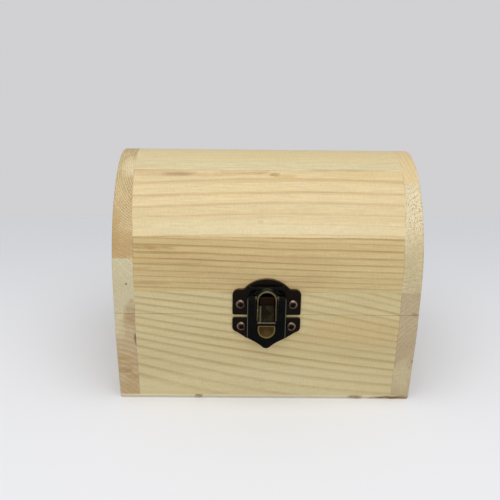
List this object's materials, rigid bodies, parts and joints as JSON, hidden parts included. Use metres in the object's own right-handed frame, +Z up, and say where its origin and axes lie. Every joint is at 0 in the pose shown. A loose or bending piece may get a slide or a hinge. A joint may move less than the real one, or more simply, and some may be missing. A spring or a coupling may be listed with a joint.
{
  "type": "domed-lid storage chest",
  "caption": "Small wooden chest with a barrel-shaped hinged lid of glued staves, solid end panels and a metal hasp with a turning tongue on the front.",
  "frame": {"origin": "middle of the chest's underside, between the two end panels and half way between the front and back faces", "axes": "+Z up; -Y towards the front with the hasp; +X to the right as seen from the front"},
  "size_m": [0.13, 0.098, 0.103],
  "materials": {
    "pine_boards": "unfinished sanded pine, long grain",
    "pine_end_panels": "unfinished sanded pine, end grain to the front",
    "plywood": "unfinished thin plywood, glued under the walls",
    "antique_bronze": "blackened bronze plating, rubbed bright on the edges",
    "rubbed_bronze": "bronze plating rubbed gold on the face",
    "bronze_screws": "copper-toned screw heads with dark slots",
    "steel_pins": "darkened wire pins"
  },
  "bodies": {
    "box": {"bottom_panel": "plywood", "box_front_board": "pine_boards", "box_back_board": "pine_boards", "box_left_end": "pine_end_panels", "box_right_end": "pine_end_panels", "left_hinge_box_leaf": "antique_bronze", "left_hinge_pin": "steel_pins", "right_hinge_box_leaf": "antique_bronze", "right_hinge_pin": "steel_pins", "hinge_box_screws": "bronze_screws", "hasp_box_plate": "antique_bronze", "hasp_box_screws": "bronze_screws"},
    "lid": {"lid_front_rail": "pine_boards", "lid_front_lower_stave": "pine_boards", "lid_front_upper_stave": "pine_boards", "lid_crown_stave": "pine_boards", "lid_back_upper_stave": "pine_boards", "lid_back_lower_stave": "pine_boards", "lid_back_rail": "pine_boards", "lid_left_end_lower": "pine_end_panels", "lid_left_end_middle": "pine_end_panels", "lid_left_end_upper": "pine_end_panels", "lid_right_end_lower": "pine_end_panels", "lid_right_end_middle": "pine_end_panels", "lid_right_end_upper": "pine_end_panels", "left_hinge_lid_leaf": "antique_bronze", "right_hinge_lid_leaf": "antique_bronze", "hinge_lid_screws": "bronze_screws", "hasp_lid_plate": "antique_bronze", "hasp_flap_pin": "steel_pins", "hasp_lid_screws": "bronze_screws"},
    "hasp_flap": {"hasp_flap": "antique_bronze", "hasp_tongue_pin": "steel_pins"},
    "hasp_tongue": {"hasp_tongue": "rubbed_bronze"}
  },
  "joints": [
    {"name": "lid_hinge", "type": "hinge", "parent": "box", "child": "lid", "pos_m": [0, 0.04645, 0.0445], "axis": [-1, 0, 0], "range_deg": [0, 105]},
    {"name": "flap_hinge", "type": "hinge", "parent": "lid", "child": "hasp_flap", "pos_m": [-0.00025, -0.0471, 0.0575], "axis": [-1, 0, 0], "range_deg": [0, 110]},
    {"name": "tongue_pivot", "type": "hinge", "parent": "hasp_flap", "child": "hasp_tongue", "pos_m": [-0.00025, -0.0483, 0.0538], "axis": [-1, 0, 0], "range_deg": [0, 60]}
  ]
}
